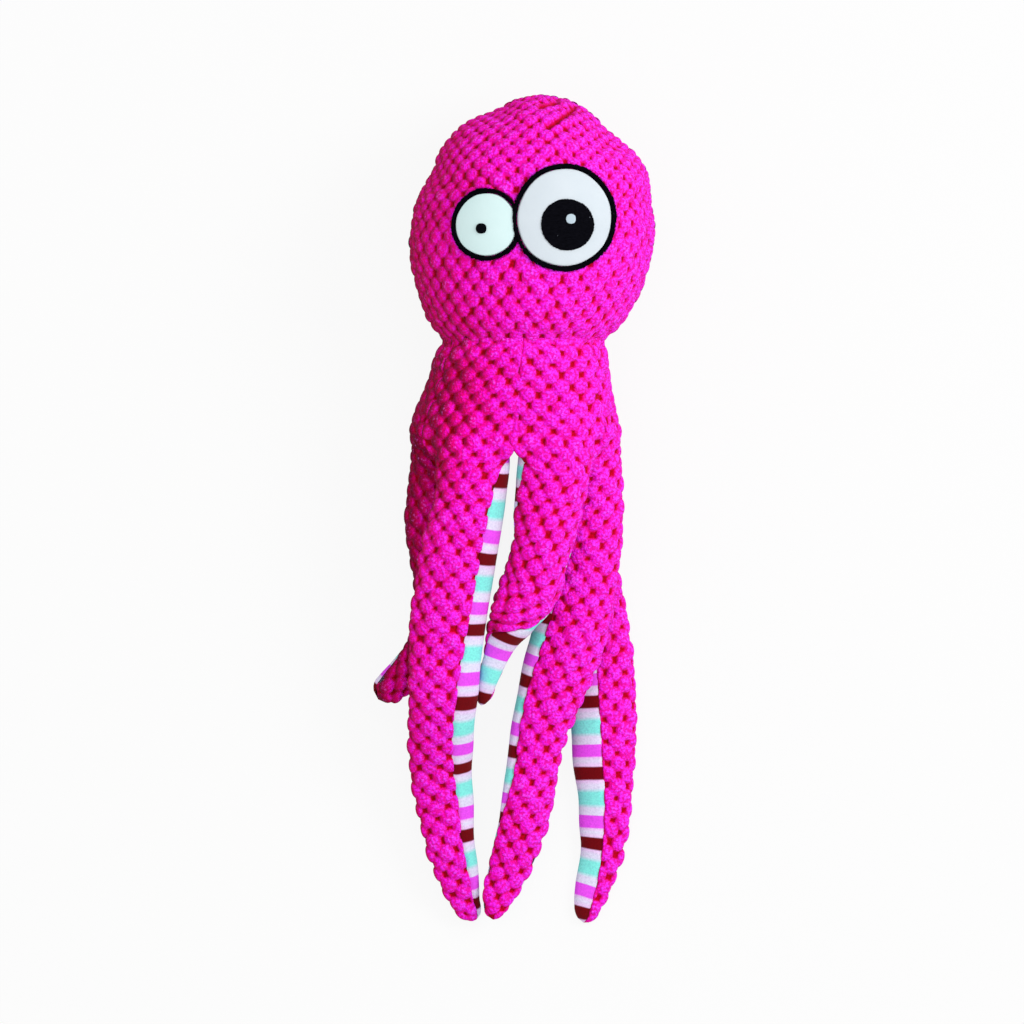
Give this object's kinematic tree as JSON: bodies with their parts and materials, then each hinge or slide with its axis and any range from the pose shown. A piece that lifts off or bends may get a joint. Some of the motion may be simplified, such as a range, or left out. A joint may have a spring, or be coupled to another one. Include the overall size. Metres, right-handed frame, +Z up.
{
  "type": "plush octopus",
  "caption": "Stuffed bobble-plush octopus lying on its back, with a ball head, two odd stitched eyes, a round body and long tapering tentacles with striped undersides that swing and bend",
  "frame": {"origin": "on the surface that the toy lies on, below the middle of its bounding box", "axes": "+Y along the toy towards the head, +Z up out of the face, +X towards the big eye's side"},
  "size_m": [0.1481, 0.433, 0.1142],
  "materials": {
    "bobble_plush": "hot pink polyester plush with a raised popcorn bobble about 8 mm across, matt",
    "striped_fleece": "smooth short fleece in cross stripes of dark red, white, mint and orchid, matt",
    "stuffing": "white polyester fibre filling",
    "white_felt": "white felt with a faint mint cast, matt",
    "black_stitching": "black satin-stitch thread with a slight sheen"
  },
  "bodies": {
    "body": {"body_cover": "bobble_plush", "body_fill": "stuffing"},
    "head": {"head_front_cover": "bobble_plush", "head_back_cover": "bobble_plush", "head_fill": "stuffing", "big_eye_white": "white_felt", "big_eye_stitching": "black_stitching", "big_eye_pupil": "black_stitching", "big_eye_glint": "white_felt", "small_eye_white": "white_felt", "small_eye_stitching": "black_stitching", "small_eye_pupil": "black_stitching"},
    "front_left_upper": {"front_left_upper_cover": "bobble_plush", "front_left_upper_underside": "striped_fleece", "front_left_upper_fill": "stuffing"},
    "front_left_lower": {"front_left_lower_cover": "bobble_plush", "front_left_lower_underside": "striped_fleece", "front_left_lower_fill": "stuffing"},
    "front_right_upper": {"front_right_upper_cover": "bobble_plush", "front_right_upper_underside": "striped_fleece", "front_right_upper_fill": "stuffing"},
    "front_right_lower": {"front_right_lower_cover": "bobble_plush", "front_right_lower_underside": "striped_fleece", "front_right_lower_fill": "stuffing"},
    "left_upper": {"left_upper_cover": "bobble_plush", "left_upper_underside": "striped_fleece", "left_upper_fill": "stuffing"},
    "left_lower": {"left_lower_cover": "bobble_plush", "left_lower_underside": "striped_fleece", "left_lower_fill": "stuffing"},
    "right_upper": {"right_upper_cover": "bobble_plush", "right_upper_underside": "striped_fleece", "right_upper_fill": "stuffing"},
    "right_lower": {"right_lower_cover": "bobble_plush", "right_lower_underside": "striped_fleece", "right_lower_fill": "stuffing"},
    "back_right_upper": {"back_right_upper_cover": "bobble_plush", "back_right_upper_underside": "striped_fleece", "back_right_upper_fill": "stuffing"},
    "back_right_lower": {"back_right_lower_cover": "bobble_plush", "back_right_lower_underside": "striped_fleece", "back_right_lower_fill": "stuffing"},
    "back_left_upper": {"back_left_upper_cover": "bobble_plush", "back_left_upper_underside": "striped_fleece", "back_left_upper_fill": "stuffing"},
    "back_left_lower": {"back_left_lower_cover": "bobble_plush", "back_left_lower_underside": "striped_fleece", "back_left_lower_fill": "stuffing"}
  },
  "joints": [
    {"name": "neck", "type": "hinge", "parent": "body", "child": "head", "pos_m": [0.00586, 0.0877, 0.09464], "axis": [1, 0, 0], "range_deg": [0, 35]},
    {"name": "front_left_root", "type": "hinge", "parent": "body", "child": "front_left_upper", "pos_m": [-0.03986, 0.04065, 0.0688], "axis": [0, 0, -1], "range_deg": [0, 50]},
    {"name": "front_left_bend", "type": "hinge", "parent": "front_left_upper", "child": "front_left_lower", "pos_m": [-0.0538, -0.07708, 0.05207], "axis": [0, 0, -1], "range_deg": [0, 45]},
    {"name": "front_right_root", "type": "hinge", "parent": "body", "child": "front_right_upper", "pos_m": [0.0426, 0.04065, 0.0688], "axis": [0, 0, 1], "range_deg": [0, 50]},
    {"name": "front_right_bend", "type": "hinge", "parent": "front_right_upper", "child": "front_right_lower", "pos_m": [0.02729, -0.03848, 0.05988], "axis": [0, 0, 1], "range_deg": [0, 45]},
    {"name": "left_root", "type": "hinge", "parent": "body", "child": "left_upper", "pos_m": [-0.05294, 0.04065, 0.0404], "axis": [0, 0, -1], "range_deg": [0, 50]},
    {"name": "left_bend", "type": "hinge", "parent": "left_upper", "child": "left_lower", "pos_m": [-0.05245, -0.03615, 0.03512], "axis": [0, 0, -1], "range_deg": [0, 45]},
    {"name": "right_root", "type": "hinge", "parent": "body", "child": "right_upper", "pos_m": [0.05657, 0.04065, 0.0404], "axis": [0, 0, 1], "range_deg": [0, 50]},
    {"name": "right_bend", "type": "hinge", "parent": "right_upper", "child": "right_lower", "pos_m": [0.04487, -0.08181, 0.0304], "axis": [0, 0, 1], "range_deg": [0, 45]},
    {"name": "back_right_root", "type": "hinge", "parent": "body", "child": "back_right_upper", "pos_m": [0.04309, 0.04065, 0.012], "axis": [0, 0, 1], "range_deg": [0, 50]},
    {"name": "back_right_bend", "type": "hinge", "parent": "back_right_upper", "child": "back_right_lower", "pos_m": [0.06238, -0.07238, 0.00867], "axis": [0, 0, 1], "range_deg": [0, 45]},
    {"name": "back_left_root", "type": "hinge", "parent": "body", "child": "back_left_upper", "pos_m": [-0.03906, 0.04065, 0.012], "axis": [0, 0, -1], "range_deg": [0, 50]},
    {"name": "back_left_bend", "type": "hinge", "parent": "back_left_upper", "child": "back_left_lower", "pos_m": [-0.04774, -0.04946, 0.00961], "axis": [0, 0, -1], "range_deg": [0, 45]}
  ]
}
